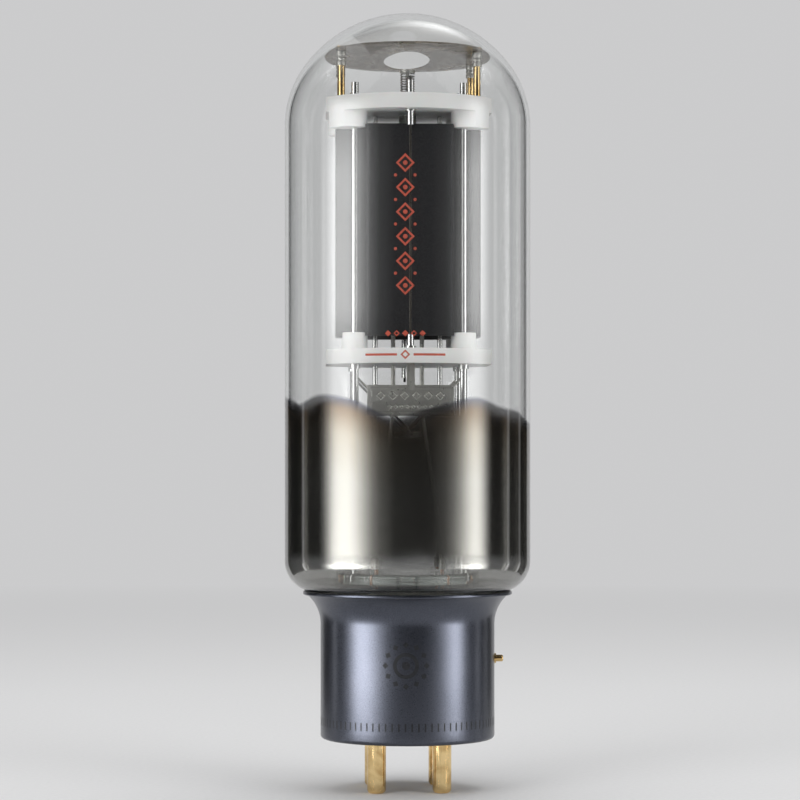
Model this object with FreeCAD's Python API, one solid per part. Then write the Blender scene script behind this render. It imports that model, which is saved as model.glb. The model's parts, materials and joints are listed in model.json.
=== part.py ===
import FreeCAD, Part
import os
from math import acos, asin, cos, degrees, radians, sin, sqrt

# Large power triode: a tall glass bulb on a lacquered metal base with four contact pins.
# Inside, two white ceramic plates clamp a black graphite anode around a grid and a filament.
# Millimetres, +Z up, origin on the axis at the level of the pin tips, -Y is the front.

# Contact pins and base
pin_circle = 25.4
pin_radius = 2.6
pin_exposed = 14.3
pin_tip_round = 1.2
pin_waist_radius = 2.0
pin_flange_radius = 3.1
pin_flange_height = 0.8
pin_bore_depth = 3.5
pin_bore_gap = 0.2
shell_radius = 24.15
shell_wall = 1.1
shell_height = 40.8
shell_edge_round = 1.1
shell_lip_reach = 1.6
shell_flare_height = 9.1
rim_lip = 1.0
rim_height = 1.0
rim_overhang = 1.15
insulator_height = 4.0
bayonet_below_rim = 18.8
bayonet_radius = 0.95
bayonet_reach = 2.45
bayonet_tip_round = 0.38
bayonet_shank_radius = 0.7
bayonet_collar_radius = 1.4
bayonet_collar_height = 0.45

# Glass
bulb_clearance = 11.95
bulb_wall = 1.5
crown_extra_radius = 1.4
shoulder_inset = 6.3
shoulder_drop = 6.9
foot_ledge = 0.45
foot_sink = 0.45
neck_round = 2.5
neck_depth = 11.1
cement_gap = 0.85
cement_start = 1.15
stem_gap = 0.8
stem_wall = 1.5
stem_height = 16.0
stem_top_thickness = 3.5
stem_flange = 1.4
stem_edge_round = 0.7
exhaust_radius = 3.2
exhaust_wall = 1.0
exhaust_length = 23.0
bead_radius = 1.9
bead_height = 1.2

# Ceramic plates and graphite anode
plate_past_rod = 7.9
plate_past_tie = 3.5
plate_side_radius = 29.0
plate_corner_round = 1.5
plate_thickness = 4.1
lower_plate_above_stem = 57.6
seat_width = 1.47
seat_height = 3.65
locator_depth = 0.8
anode_length = 57.7
anode_past_rod_x = 5.2
anode_past_rod_y = 3.5
anode_rod_air = 0.93
anode_wall = 2.5
anode_edge_round = 0.8

# Rods, posts and the top disc
rod_inset = 2.31
rod_angle = 32.7
rod_radius = 1.0
rod_stub = 3.9
rod_socket_depth = 2.5
rod_shoulder_radius = 1.45
rod_shoulder_height = 1.3
post_past_rod = 3.7
post_radius = 0.975
post_ferrule_radius = 1.35
post_ferrule_height = 3.8
post_head_radius = 1.3
post_head_height = 0.8
mica_thickness = 0.4
mica_margin = 1.08
mica_edge_gap = 1.0
window_half_width = 6.45
window_half_depth = 14.9
window_edge = 3.48

# Tie wires at the front and rear of the anode
tie_air = 2.5
tie_wire_radius = 0.35
tie_wire_stub = 1.2
tie_ferrule_radius = 0.9
tie_upper_above = 3.7
tie_upper_below = 4.4
tie_lower_above = 3.7
tie_lower_below = 2.9
tie_flange_radius = 1.5
tie_flange_height = 0.6

# Filament, its spring and the grid
filament_radius = 0.25
filament_bow = 0.9
filament_post_x = 4.0
filament_post_radius = 0.6
filament_post_above = 6.3
inner_stub = 5.6
pull_rod_radius = 0.45
eye_radius = 1.3
eye_wire_radius = 0.35
eye_below_cup = 3.4
spring_radius = 1.88
spring_wire_radius = 0.22
spring_pitch = 1.05
spring_turns = 13.5
cup_wall = 0.25
cup_bore_gap = 0.15
cup_depth = 6.8
cup_flange = 1.6
pull_collar_height = 0.8
grid_rod_x = 9.0
grid_rod_radius = 0.7
grid_socket_depth = 2.0
grid_half_depth = 5.6
grid_wire = 0.5
grid_turns = 12
grid_margin = 5.0

# Leads, identification plate and getters
lead_radius = 0.5
lead_above_stem = 3.4
sleeve_radius = 0.95
sleeve_height = 3.0
lead_bend_height = 14.0
tag_width = 23.5
tag_height = 8.4
tag_thickness = 0.3
tag_corner_round = 0.4
tag_drop = 3.0
strap_width = 2.2
strap_thickness = 0.25
strap_overlap = 1.6
getter_wire_radius = 0.35
getter_drop = 18.0
getter_start_drop = 3.2
getter_pan_radius = 3.2
getter_pan_height = 1.4
getter_pan_wall = 0.3

# Running clearance between parts that fit in one another
fit_gap = 0.03

# Places across the tube that follow from the sizes above
pin_offset = pin_circle / 2 / sqrt(2)
neck_radius = shell_radius - shell_wall - cement_gap
stem_radius = neck_radius - bulb_wall - stem_gap
rod_x = (stem_radius - rod_inset) * cos(radians(rod_angle))
rod_y = (stem_radius - rod_inset) * sin(radians(rod_angle))
post_x = rod_x + post_past_rod
post_circle_radius = sqrt(post_x**2 + rod_y**2)
mica_radius = post_circle_radius + post_head_radius + mica_margin
boss_radius = rod_radius + anode_rod_air + seat_width
anode_half_width = rod_x + anode_past_rod_x
anode_half_depth = rod_y + anode_past_rod_y
anode_cove_radius = sqrt(anode_past_rod_x**2 + anode_past_rod_y**2) + rod_radius + anode_rod_air
tie_y = anode_half_depth + tie_air
plate_half_width = rod_x + plate_past_rod
plate_half_depth = tie_y + plate_past_tie
bulb_radius = post_circle_radius + post_ferrule_radius + bulb_clearance
crown_radius = bulb_radius + crown_extra_radius
shoulder_radius = bulb_radius - shoulder_inset
foot_radius = bulb_radius - neck_radius - neck_round - foot_ledge

# Levels that follow from the sizes above
z_rim = pin_exposed + shell_height
z_bulb_floor = z_rim - foot_sink
z_foot = z_bulb_floor + foot_radius
z_neck_end = z_rim - neck_depth
z_insulator = pin_exposed + shell_wall
z_insulator_top = z_insulator + insulator_height
z_pin_top = z_insulator_top + pin_flange_height
z_pin_bore = z_pin_top - pin_bore_depth
z_stem = z_neck_end + stem_height
z_stem_floor = z_stem - stem_top_thickness
z_lower = z_stem + lower_plate_above_stem
z_lower_top = z_lower + plate_thickness
z_anode = z_lower_top + seat_height
z_anode_top = z_anode + anode_length
z_upper = z_anode_top + seat_height
z_upper_top = z_upper + plate_thickness
z_shoulder = z_upper_top - shoulder_drop
z_crown = z_shoulder - sqrt((crown_radius - shoulder_radius) ** 2 - shoulder_inset**2)
z_apex = z_crown + crown_radius
z_mica_top = z_crown + sqrt((crown_radius - bulb_wall) ** 2 - (mica_radius + mica_edge_gap) ** 2)
z_mica = z_mica_top - mica_thickness
z_cup_floor = z_upper_top - cup_depth
z_spring = z_cup_floor + cup_wall
z_spring_top = z_spring + spring_pitch * spring_turns + 2 * spring_wire_radius
z_eye = z_cup_floor - eye_below_cup
z_tag_top = z_lower - tie_lower_below - tag_drop
z_sleeve = z_stem + bead_height
corners = [(sx, sy) for sy in (-1, 1) for sx in (-1, 1)]


def vec(x, y, z):
    return FreeCAD.Vector(x, y, z)


def line(a, b):
    return Part.makeLine(vec(a[0], 0, a[1]), vec(b[0], 0, b[1]))


def bend(centre, radius, start, end):
    # An arc in the section plane, from one angle to another, in degrees from the +X side.
    at = [radians(a) for a in (start, (start + end) / 2, end)]
    points = [vec(centre[0] + radius * cos(a), 0, centre[1] + radius * sin(a)) for a in at]
    return Part.Arc(*points).toShape()


def turned(edges):
    face = Part.Face(Part.Wire(Part.__sortEdges__(edges)))
    return face.revolve(vec(0, 0, 0), vec(0, 0, 1), 360)


def turned_outline(points):
    closed = points + points[:1]
    return turned([line(a, b) for a, b in zip(closed, closed[1:])])


def cylinder(x, y, z0, z1, radius):
    return Part.makeCylinder(radius, z1 - z0, vec(x, y, z0))


def tube(x, y, z0, z1, radius, bore):
    return cylinder(x, y, z0, z1, radius).cut(cylinder(x, y, z0, z1, bore))


def box(x0, x1, y0, y1, z0, z1):
    return Part.makeBox(x1 - x0, y1 - y0, z1 - z0, vec(x0, y0, z0))


def wire_along(points, radius):
    # A round wire bent to a polyline that starts vertically.
    path = Part.makePolygon([vec(*p) for p in points])
    ring = Part.Wire(Part.makeCircle(radius, vec(*points[0]), vec(0, 0, 1)))
    return path.makePipeShell([ring], True, False, 1)


def round_edges(shape, radius, chosen):
    edges = [e for e in shape.Edges if chosen(e)]
    return shape.makeFillet(radius, edges)


def is_upright(edge):
    first, last = edge.Vertexes[0].Point, edge.Vertexes[-1].Point
    return abs(first.z - last.z) > 1e-3 and (first - last).Length - abs(first.z - last.z) < 1e-6


def glass_radius(z):
    # Outer radius of the rounded foot of the bulb at a height.
    return bulb_radius - foot_radius + sqrt(foot_radius**2 - (z_foot - z) ** 2)


def bulb_solid(inset):
    # The bulb's outer form, or its hollow when inset by the wall.
    turn = degrees(acos(shoulder_inset / (crown_radius - shoulder_radius)))
    crown_r, shoulder_r = crown_radius - inset, shoulder_radius - inset
    foot_r, throat_r = foot_radius - inset, neck_round + inset
    neck_r = neck_radius - inset
    foot_x, throat_x = bulb_radius - foot_radius, neck_radius + neck_round
    z_floor, z_throat = z_foot - foot_r, z_bulb_floor - neck_round
    return turned([
        line((0, z_neck_end), (0, z_crown + crown_r)),
        bend((0, z_crown), crown_r, 90, turn),
        bend((bulb_radius - shoulder_radius, z_shoulder), shoulder_r, turn, 0),
        line((bulb_radius - inset, z_shoulder), (bulb_radius - inset, z_foot)),
        bend((foot_x, z_foot), foot_r, 0, -90),
        line((foot_x, z_floor), (throat_x, z_floor)),
        bend((throat_x, z_throat), throat_r, 90, 180),
        line((neck_r, z_throat), (neck_r, z_neck_end)),
        line((neck_r, z_neck_end), (0, z_neck_end)),
    ])


def glass_envelope():
    return bulb_solid(0).cut(bulb_solid(bulb_wall))


def glass_stem():
    # A re-entrant tube closed by a flat button, sealed to the end of the neck by its flange.
    body = cylinder(0, 0, z_neck_end, z_stem, stem_radius)
    body = round_edges(body, stem_edge_round, lambda e: e.BoundBox.ZMin > z_stem - 0.1)
    body = body.fuse(cylinder(0, 0, z_neck_end - stem_flange, z_neck_end, neck_radius))
    for x, y in stem_beads():
        body = body.fuse(cylinder(x, y, z_stem - bead_height, z_stem + bead_height, bead_radius))
    body = body.cut(cylinder(0, 0, z_neck_end - stem_flange, z_stem_floor, stem_radius - stem_wall))
    body = body.fuse(sealed_tube(exhaust_radius, z_stem_floor))
    body = body.cut(sealed_tube(exhaust_radius - exhaust_wall, z_stem))
    z_socket = z_stem - rod_socket_depth
    for sx, sy in corners:
        body = body.cut(cylinder(sx * rod_x, sy * rod_y, z_socket, z_sleeve, rod_radius + fit_gap))
        hole = cylinder(sx * pin_offset, sy * pin_offset, z_stem_floor, z_sleeve, lead_radius + fit_gap)
        body = body.cut(hole)
    return body


def sealed_tube(radius, z_top):
    # The exhaust tube's outer form or bore, ending in a ball where it was melted shut.
    z_tip = z_stem_floor - exhaust_length
    return cylinder(0, 0, z_tip, z_top, radius).fuse(Part.makeSphere(radius, vec(0, 0, z_tip)))


def stem_beads():
    rods = [(sx * rod_x, sy * rod_y) for sx, sy in corners]
    leads = [(sx * pin_offset, sy * pin_offset) for sx, sy in corners]
    return rods + leads


def rim_radius():
    return glass_radius(z_rim) + fit_gap + rim_lip


def flare_centre():
    # The shell's flare is a hollow arc that starts upright and ends under the rim bead.
    rise = shell_flare_height - rim_height
    reach = rim_radius() - rim_overhang - shell_radius
    radius = (reach**2 + rise**2) / (2 * reach)
    return shell_radius + radius, z_rim - shell_flare_height, radius


def shell_section(inset):
    x, z, radius = flare_centre()
    radius += inset
    rise = shell_flare_height - rim_height
    turn = degrees(acos(sqrt(radius**2 - rise**2) / radius))
    side = x - radius
    end = (x - sqrt(radius**2 - rise**2), z + rise)
    return side, z, bend((x, z), radius, 180, 180 - turn), end


def base_shell():
    side, z_flare, flare, end = shell_section(0)
    rim = rim_radius()
    shell = turned([
        line((0, pin_exposed), (side, pin_exposed)),
        line((side, pin_exposed), (side, z_flare)),
        flare,
        line(end, (rim, end[1])),
        line((rim, end[1]), (rim, z_rim)),
        line((rim, z_rim), (0, z_rim)),
        line((0, z_rim), (0, pin_exposed)),
    ])
    shell = round_edges(shell, rim_height * 0.4, lambda e: e.BoundBox.XMax > rim - 0.01)
    shell = round_edges(shell, shell_edge_round, lambda e: e.BoundBox.ZMax < pin_exposed + 0.01)
    shell = shell.cut(shell_cavity())
    mouth = side - shell_wall - shell_lip_reach
    shell = shell.cut(cylinder(0, 0, pin_exposed, z_insulator, mouth))
    return shell.cut(bayonet_hole())


def shell_cavity():
    side, z_flare, flare, end = shell_section(shell_wall)
    mouth = glass_radius(z_rim) + fit_gap
    return turned([
        line((0, z_insulator), (side, z_insulator)),
        line((side, z_insulator), (side, z_flare)),
        flare,
        line(end, (mouth, z_rim)),
        line((mouth, z_rim), (0, z_rim)),
        line((0, z_rim), (0, z_insulator)),
    ])


def base_cement():
    # Fills the gap between the shell and the neck of the bulb.
    ring = cylinder(0, 0, z_neck_end + cement_start, z_bulb_floor, bulb_radius)
    return ring.common(shell_cavity()).cut(bulb_solid(0))


def base_insulator():
    disc = cylinder(0, 0, z_insulator, z_insulator_top, shell_radius - shell_wall - fit_gap)
    for sx, sy in corners:
        x, y = sx * pin_offset, sy * pin_offset
        disc = disc.cut(cylinder(x, y, z_insulator, z_insulator_top, pin_waist_radius + fit_gap))
    return disc


def contact_pin(sx, sy):
    # A pin with a bore for its lead, shouldered under the insulator and riveted over on top of it.
    bore = lead_radius + pin_bore_gap
    flat = pin_radius - pin_tip_round
    pin = turned([
        line((bore, z_pin_bore), (bore, z_pin_top)),
        line((bore, z_pin_top), (pin_flange_radius, z_pin_top)),
        line((pin_flange_radius, z_pin_top), (pin_flange_radius, z_insulator_top)),
        line((pin_flange_radius, z_insulator_top), (pin_waist_radius, z_insulator_top)),
        line((pin_waist_radius, z_insulator_top), (pin_waist_radius, z_insulator)),
        line((pin_waist_radius, z_insulator), (pin_radius, z_insulator)),
        line((pin_radius, z_insulator), (pin_radius, pin_tip_round)),
        bend((flat, pin_tip_round), pin_tip_round, 0, -90),
        line((flat, 0), (0, 0)),
        line((0, 0), (0, z_pin_bore)),
        line((0, z_pin_bore), (bore, z_pin_bore)),
    ])
    pin.translate(vec(sx * pin_offset, sy * pin_offset, 0))
    return pin


def lying_cylinder(x0, x1, radius):
    return Part.makeCylinder(radius, x1 - x0, vec(x0, 0, z_rim - bayonet_below_rim), vec(1, 0, 0))


def bayonet_hole():
    return lying_cylinder(0, bulb_radius, bayonet_shank_radius + fit_gap)


def bayonet_pin():
    # A rivet whose thin shank passes through the shell wall, with a collar outside and a head inside.
    inside = shell_radius - shell_wall
    start, end = inside - bayonet_collar_height, shell_radius + bayonet_reach
    collar_end = shell_radius + bayonet_collar_height
    stud = lying_cylinder(collar_end, end, bayonet_radius)
    stud = round_edges(stud, bayonet_tip_round, lambda e: e.BoundBox.XMin > end - 0.01)
    wall = Part.makeCylinder(shell_radius, z_rim).cut(Part.makeCylinder(inside, z_rim))
    collars = lying_cylinder(start, collar_end, bayonet_collar_radius).cut(wall)
    return stud.fuse(collars).fuse(lying_cylinder(start, collar_end, bayonet_shank_radius))


def lead_wire(sx, sy):
    x, y = sx * pin_offset, sy * pin_offset
    return cylinder(x, y, z_pin_bore, z_stem + lead_above_stem, lead_radius)


def lead_sleeve(sx, sy):
    x, y = sx * pin_offset, sy * pin_offset
    return tube(x, y, z_sleeve, z_sleeve + sleeve_height, sleeve_radius, lead_radius + fit_gap)


def inner_lead(sx, sy, x, y, z):
    # From the top of a stem lead up and across to the foot of the post that it feeds.
    x0, y0, z0 = sx * pin_offset, sy * pin_offset, z_stem + lead_above_stem
    z_low, z_high = z_sleeve + lead_bend_height / 2, z - lead_bend_height / 2
    return wire_along([(x0, y0, z0), (x0, y0, z_low), (x, y, z_high), (x, y, z)], lead_radius)


def anode_lead(sx, sy):
    # Bent outwards to a weld on the nearest support rod.
    x0, y0, z0 = sx * pin_offset, sy * pin_offset, z_stem + lead_above_stem
    x1, y1, z_low = sx * rod_x, sy * rod_y, z_sleeve + lead_bend_height / 2
    lead = wire_along([(x0, y0, z0), (x0, y0, z_low), (x1, y1, z_low + lead_bend_height)], lead_radius)
    return lead.cut(cylinder(x1, y1, z_stem, z_lower, rod_radius))


def plate_outline(z0, z1):
    # Two shallow arcs across the front and rear, cut off flat at the sides.
    height = z1 - z0
    reach = plate_side_radius - plate_half_depth
    front = Part.makeCylinder(plate_side_radius, height, vec(0, reach, z0))
    rear = Part.makeCylinder(plate_side_radius, height, vec(0, -reach, z0))
    block = box(-plate_half_width, plate_half_width, -plate_half_depth, plate_half_depth, z0, z1)
    slab = front.common(rear).common(block).removeSplitter()
    return round_edges(slab, plate_corner_round, is_side_corner)


def is_side_corner(edge):
    return is_upright(edge) and abs(abs(edge.CenterOfMass.x) - plate_half_width) < 0.01


def boss(sx, sy, x_end, z0, z1):
    # An obround block round a support rod, drawn out to x_end.
    block = cylinder(sx * rod_x, sy * rod_y, z0, z1, boss_radius)
    if x_end > rod_x:
        block = block.fuse(cylinder(sx * x_end, sy * rod_y, z0, z1, boss_radius))
        low, high = sorted((sx * rod_x, sx * x_end))
        block = block.fuse(box(low, high, sy * rod_y - boss_radius, sy * rod_y + boss_radius, z0, z1))
    return block


def cove(sx, sy, z0, z1, radius):
    return cylinder(sx * anode_half_width, sy * anode_half_depth, z0, z1, radius)


def bosses(x_end, z_face, z_seat, z_locator):
    # Each boss seats on the end of the anode and drops a tongue into the anode's cove.
    trim = plate_outline(min(z_face, z_locator), max(z_face, z_locator))
    blocks = []
    for sx, sy in corners:
        seat = boss(sx, sy, x_end, min(z_face, z_seat), max(z_face, z_seat))
        tongue = boss(sx, sy, x_end, min(z_face, z_locator), max(z_face, z_locator))
        tongue = tongue.common(cove(sx, sy, 0, z_apex, anode_cove_radius - 5 * fit_gap))
        blocks.append(seat.fuse(tongue).common(trim))
    return blocks


def through_holes(x, y, radius):
    return cylinder(x, y, 0, z_apex, radius + fit_gap)


def lower_ceramic_plate():
    plate = plate_outline(z_lower, z_lower_top)
    for block in bosses(rod_x, z_lower_top, z_anode, z_anode + locator_depth):
        plate = plate.fuse(block)
    for sx, sy in corners:
        plate = plate.cut(through_holes(sx * rod_x, sy * rod_y, rod_radius))
    for side in (-1, 1):
        plate = plate.cut(through_holes(0, side * tie_y, tie_ferrule_radius))
        plate = plate.cut(through_holes(side * filament_post_x, 0, filament_post_radius))
        plate = plate.cut(through_holes(side * grid_rod_x, 0, grid_rod_radius))
    return plate.removeSplitter()


def upper_ceramic_plate():
    plate = plate_outline(z_upper, z_upper_top)
    for block in bosses(post_x, z_upper, z_anode_top, z_anode_top - locator_depth):
        plate = plate.fuse(block)
    for sx, sy in corners:
        plate = plate.cut(through_holes(sx * rod_x, sy * rod_y, rod_radius))
        plate = plate.cut(cylinder(sx * post_x, sy * rod_y, z_upper, z_upper_top, post_radius + fit_gap))
    z_socket = z_upper + grid_socket_depth
    for side in (-1, 1):
        plate = plate.cut(through_holes(0, side * tie_y, tie_ferrule_radius))
        plate = plate.cut(cylinder(side * grid_rod_x, 0, z_upper, z_socket, grid_rod_radius + fit_gap))
    return plate.cut(through_holes(0, 0, cup_radius())).removeSplitter()


def anode_prism(inset):
    z0, z1 = z_anode, z_anode_top
    x, y = anode_half_width - inset, anode_half_depth - inset
    prism = box(-x, x, -y, y, z0, z1)
    for sx, sy in corners:
        prism = prism.cut(cove(sx, sy, z0, z1, anode_cove_radius + inset))
    return prism


def graphite_anode():
    # A block with coved corners and an even wall, its long edges eased.
    body = round_edges(anode_prism(0), anode_edge_round, is_upright)
    return body.cut(anode_prism(anode_wall))


def support_rod(sx, sy):
    # A long rod with a swaged shoulder on which the lower plate rests.
    x, y = sx * rod_x, sy * rod_y
    rod = cylinder(x, y, z_stem - rod_socket_depth, z_upper_top + rod_stub, rod_radius)
    return rod.fuse(cylinder(x, y, z_lower - rod_shoulder_height, z_lower, rod_shoulder_radius))


def mica_post(sx, sy):
    # Spread to a head above the disc, so that the sleeve below clamps it.
    x, y = sx * post_x, sy * rod_y
    head = cylinder(x, y, z_mica_top, z_mica_top + post_head_height, post_head_radius)
    return cylinder(x, y, z_upper, z_mica_top, post_radius).fuse(head)


def mica_ferrule(sx, sy):
    # A crimped sleeve on which the disc rests.
    x, y = sx * post_x, sy * rod_y
    return tube(x, y, z_mica - post_ferrule_height, z_mica, post_ferrule_radius, post_radius + fit_gap)


def top_mica_disc():
    # Reaches nearly to the inside of the dome, with an oval window on the axis.
    disc = cylinder(0, 0, z_mica, z_mica_top, mica_radius)
    oval = Part.Ellipse(vec(0, 0, 0), window_half_depth, window_half_width).toShape()
    window = Part.Face(Part.Wire(oval)).extrude(vec(0, 0, mica_thickness))
    window.rotate(vec(0, 0, 0), vec(0, 0, 1), 90)
    window.translate(vec(0, mica_radius - window_edge - window_half_depth, z_mica))
    disc = disc.cut(window)
    for sx, sy in corners:
        disc = disc.cut(through_holes(sx * post_x, sy * rod_y, post_radius))
    return disc


def tie_wire(side):
    z0 = z_lower - tie_lower_below - tie_wire_stub
    z1 = z_upper_top + tie_upper_above + tie_wire_stub
    return cylinder(0, side * tie_y, z0, z1, tie_wire_radius)


def tie_ferrule(side, z0, z1, z_flange):
    body = cylinder(0, side * tie_y, z0, z1, tie_ferrule_radius)
    body = body.fuse(cylinder(0, side * tie_y, z_flange, z_flange + tie_flange_height, tie_flange_radius))
    return body.cut(cylinder(0, side * tie_y, z0, z1, tie_wire_radius + fit_gap))


def upper_tie_ferrule(side):
    z0, z1 = z_upper - tie_upper_below, z_upper_top + tie_upper_above
    return tie_ferrule(side, z0, z1, z_upper - tie_flange_height)


def lower_tie_ferrule(side):
    z0, z1 = z_lower - tie_lower_below, z_lower_top + tie_lower_above
    return tie_ferrule(side, z0, z1, z_lower_top)


def filament_post(side):
    z0, z1 = z_lower - inner_stub, z_lower_top + filament_post_above
    return cylinder(side * filament_post_x, 0, z0, z1, filament_post_radius)


def filament():
    # A hairpin hung from the eye of the pull rod, its straight legs spread to the two posts.
    z_bow = z_eye - eye_radius + eye_wire_radius + filament_radius - filament_bow + fit_gap
    foot = vec(filament_post_x, 0, z_lower_top + filament_post_above + filament_radius)
    reach = sqrt(foot.x**2 + (z_bow - foot.z) ** 2)
    lean = asin(foot.x / reach) - asin(filament_bow / reach)
    tangent = vec(filament_bow * cos(lean), 0, z_bow + filament_bow * sin(lean))
    leg = foot - tangent
    right = Part.makeCylinder(filament_radius, leg.Length, tangent, leg)
    section = Part.Face(Part.Wire(Part.makeCircle(filament_radius, tangent, leg)))
    bow = section.revolve(vec(0, 0, z_bow), vec(0, -1, 0), 180 - 2 * degrees(lean))
    return bow.fuse(right).fuse(right.mirror(vec(0, 0, 0), vec(1, 0, 0)))


def filament_pull_rod():
    # Hangs from a collar on top of the spring and ends in an eye.
    z_collar = z_spring_top + pull_collar_height
    rod = cylinder(0, 0, z_eye + eye_radius, z_collar, pull_rod_radius)
    eye = Part.makeTorus(eye_radius, eye_wire_radius, vec(0, 0, z_eye), vec(1, 0, 0))
    collar = cylinder(0, 0, z_spring_top, z_collar, spring_radius + spring_wire_radius)
    return rod.fuse(eye).fuse(collar)


def tension_spring():
    # The wire is drawn with six sides, which at this size reads as round.
    height = spring_pitch * spring_turns
    path = Part.makeHelix(spring_pitch, height, spring_radius)
    turns = [radians(60 * n) for n in range(7)]
    sides = [vec(spring_radius + spring_wire_radius * cos(a), 0, spring_wire_radius * sin(a)) for a in turns]
    coil = Part.Wire(path.Edges).makePipeShell([Part.makePolygon(sides)], True, True)
    coil.translate(vec(0, 0, z_spring + spring_wire_radius))
    return coil


def cup_radius():
    return spring_radius + spring_wire_radius + cup_bore_gap + cup_wall


def spring_cup():
    # Hangs by its flange in the upper plate and carries the foot of the spring.
    outer = cup_radius()
    inner = outer - cup_wall
    z_top = z_upper_top + cup_wall
    eyelet = pull_rod_radius + fit_gap
    return turned_outline([
        (eyelet, z_cup_floor), (outer, z_cup_floor), (outer, z_upper_top), (outer + cup_flange, z_upper_top),
        (outer + cup_flange, z_top), (inner, z_top), (inner, z_spring), (eyelet, z_spring),
    ])


def obround(half_length, radius, z0, z1):
    straight = half_length - radius
    block = box(-straight, straight, -radius, radius, z0, z1)
    return block.fuse(cylinder(-straight, 0, z0, z1, radius)).fuse(cylinder(straight, 0, z0, z1, radius))


def grid_turn(z):
    outer = obround(grid_rod_x + grid_wire / 2, grid_half_depth, z, z + grid_wire)
    inner = obround(grid_rod_x - grid_wire / 2, grid_half_depth - grid_wire, z, z + grid_wire)
    return outer.cut(inner).removeSplitter()


def control_grid():
    # Two side rods with evenly spaced oval turns, welded to one piece.
    z0, z1 = z_lower - inner_stub, z_upper + grid_socket_depth
    grid = cylinder(grid_rod_x, 0, z0, z1, grid_rod_radius)
    first, last = z_anode + grid_margin, z_anode_top - grid_margin
    step = (last - first) / (grid_turns - 1)
    turns = [grid_turn(first + step * n) for n in range(grid_turns)]
    return grid.multiFuse([cylinder(-grid_rod_x, 0, z0, z1, grid_rod_radius)] + turns)


def identification_plate():
    # A bare nickel plate behind the lower end of its strap.
    y = -tie_y - tie_ferrule_radius
    plate = box(-tag_width / 2, tag_width / 2, y, y + tag_thickness, z_tag_top - tag_height, z_tag_top)
    return round_edges(plate, tag_corner_round, lambda e: e.BoundBox.YLength > tag_thickness / 2)


def plate_strap():
    y = -tie_y - tie_ferrule_radius
    z1 = z_lower - fit_gap
    half = strap_width / 2
    return box(-half, half, y - strap_thickness, y, z_tag_top - strap_overlap, z1)


def getter_wire(side):
    # A slack vee between two support rods, with the getter pan at its lowest point.
    y, z0, z1 = side * rod_y, z_lower - getter_start_drop, z_lower - getter_drop
    half = Part.makePolygon([vec(-rod_x, y, z0), vec(0, y, z1), vec(rod_x, y, z0)])
    slope = vec(rod_x, 0, z1 - z0)
    ring = Part.Wire(Part.makeCircle(getter_wire_radius, vec(-rod_x, y, z0), slope))
    wire = half.makePipeShell([ring], True, False, 1)
    for end in (-1, 1):
        wire = wire.cut(cylinder(end * rod_x, y, z_stem, z_lower, rod_radius))
    return wire


def getter_pan(side):
    # A shallow dish, open downwards, welded under the sharp bend of the wire.
    leg_drop = getter_drop - getter_start_drop
    mitre = getter_wire_radius * sqrt(rod_x**2 + leg_drop**2) / rod_x
    z_top = z_lower - getter_drop - mitre
    z_rim_low = z_top - getter_pan_height
    inner = getter_pan_radius - getter_pan_wall
    pan = cylinder(0, side * rod_y, z_rim_low, z_top, getter_pan_radius)
    pan = pan.cut(cylinder(0, side * rod_y, z_rim_low, z_top - getter_pan_wall, inner))
    return pan


def model():
    post_foot = z_lower - inner_stub
    parts = {
        "glass_envelope": glass_envelope(),
        "glass_stem": glass_stem(),
        "base_shell": base_shell(),
        "base_cement": base_cement(),
        "base_insulator": base_insulator(),
        "bayonet_pin": bayonet_pin(),
        "lower_ceramic_plate": lower_ceramic_plate(),
        "upper_ceramic_plate": upper_ceramic_plate(),
        "graphite_anode": graphite_anode(),
        "top_mica_disc": top_mica_disc(),
        "filament": filament(),
        "filament_pull_rod": filament_pull_rod(),
        "tension_spring": tension_spring(),
        "spring_cup": spring_cup(),
        "control_grid": control_grid(),
        "identification_plate": identification_plate(),
        "plate_strap": plate_strap(),
        "filament_lead_1": inner_lead(-1, -1, -filament_post_x, 0, post_foot),
        "filament_lead_2": inner_lead(1, -1, filament_post_x, 0, post_foot),
        "grid_lead": inner_lead(-1, 1, -grid_rod_x, 0, post_foot),
        "anode_lead": anode_lead(1, 1),
    }
    for number, (sx, sy) in enumerate(corners, 1):
        parts[f"contact_pin_{number}"] = contact_pin(sx, sy)
        parts[f"lead_wire_{number}"] = lead_wire(sx, sy)
        parts[f"lead_sleeve_{number}"] = lead_sleeve(sx, sy)
        parts[f"support_rod_{number}"] = support_rod(sx, sy)
        parts[f"mica_post_{number}"] = mica_post(sx, sy)
        parts[f"mica_ferrule_{number}"] = mica_ferrule(sx, sy)
    for number, side in enumerate((-1, 1), 1):
        parts[f"tie_wire_{number}"] = tie_wire(side)
        parts[f"upper_tie_ferrule_{number}"] = upper_tie_ferrule(side)
        parts[f"lower_tie_ferrule_{number}"] = lower_tie_ferrule(side)
        parts[f"filament_post_{number}"] = filament_post(side)
        parts[f"getter_wire_{number}"] = getter_wire(side)
        parts[f"getter_pan_{number}"] = getter_pan(side)
    return parts


def main():
    os.makedirs("parts", exist_ok=True)
    for name, shape in model().items():
        shape.exportStep(f"parts/{name}.step")


main()
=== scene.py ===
import json
import random
from math import acos, asin, atan2, cos, degrees, exp, pi, radians, sin, sqrt

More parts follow.
